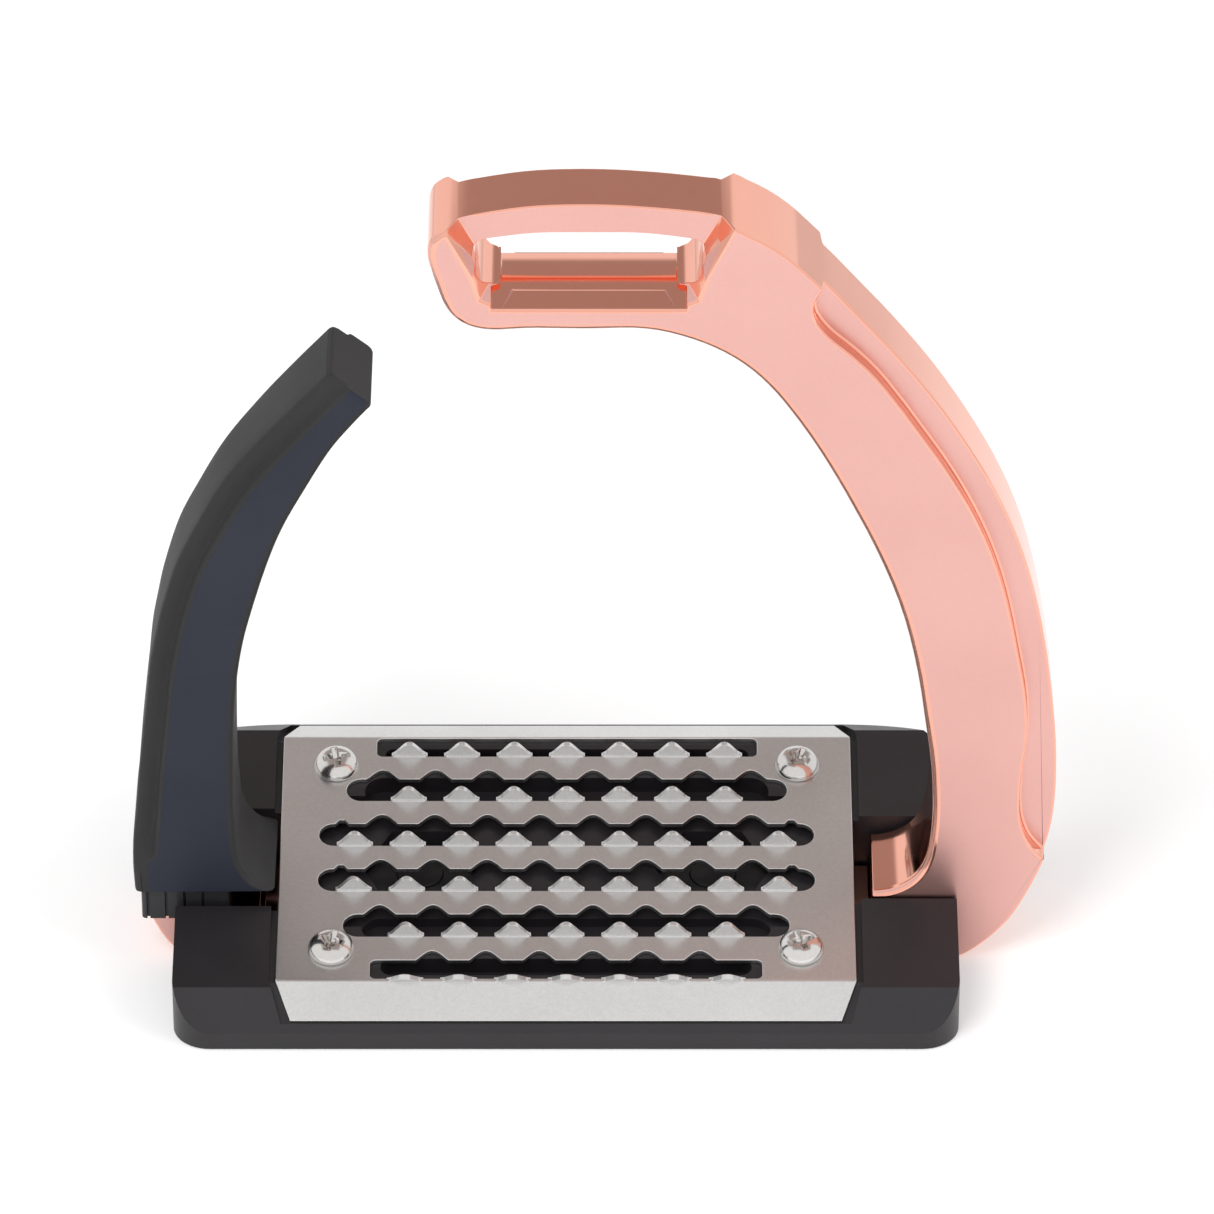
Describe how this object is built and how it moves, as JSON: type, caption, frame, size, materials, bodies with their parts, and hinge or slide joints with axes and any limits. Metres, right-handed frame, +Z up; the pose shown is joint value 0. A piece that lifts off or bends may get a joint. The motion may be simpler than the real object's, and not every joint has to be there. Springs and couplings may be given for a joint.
{
  "type": "stirrup iron",
  "caption": "Safety stirrup iron for riding: rigid rose-gold side branch and eye, flexible open outer arm, wide sloping footbed with a toothed metal tread plate.",
  "frame": {"origin": "centre of the footbed's underside, on the flat underside of the frame's bar", "axes": "+X across the foot towards the rigid inner branch, +Y along the foot towards the toe, +Z up through the eye"},
  "size_m": [0.1604, 0.0711, 0.1544],
  "materials": {
    "frame": "rose gold coating, satin broad faces, polished edges and inner surfaces",
    "arm_boot": "matt dark grey elastomer",
    "arm_upper": "matt dark grey elastomer",
    "arm_socket": "black glass-filled nylon",
    "arm_pin": "plain steel",
    "leaf_root": "blued spring steel",
    "leaf_upper": "blued spring steel",
    "leaf_rivets": "plain steel",
    "footbed_base": "fine grained dark grey nylon",
    "tread_plate": "bead-blasted stainless steel",
    "tread_screws": "polished stainless steel",
    "screw_inserts": "plain brass",
    "frame_bolts": "stainless steel",
    "frame_nuts": "black oxide"
  },
  "bodies": {
    "stirrup": {"frame": "frame", "arm_boot": "arm_boot", "arm_socket": "arm_socket", "arm_pin": "arm_pin", "leaf_root": "leaf_root", "leaf_rivets": "leaf_rivets", "footbed_base": "footbed_base", "tread_plate": "tread_plate", "tread_screws": "tread_screws", "screw_inserts": "screw_inserts", "frame_bolts": "frame_bolts", "frame_nuts": "frame_nuts"},
    "arm": {"arm_upper": "arm_upper", "leaf_upper": "leaf_upper"}
  },
  "joints": [
    {"name": "arm_release", "type": "hinge", "parent": "stirrup", "child": "arm", "pos_m": [-0.07255, 0, 0.052], "axis": [0, -1, 0], "range_deg": [0, 55], "stiffness_Nm_per_rad": 3}
  ]
}
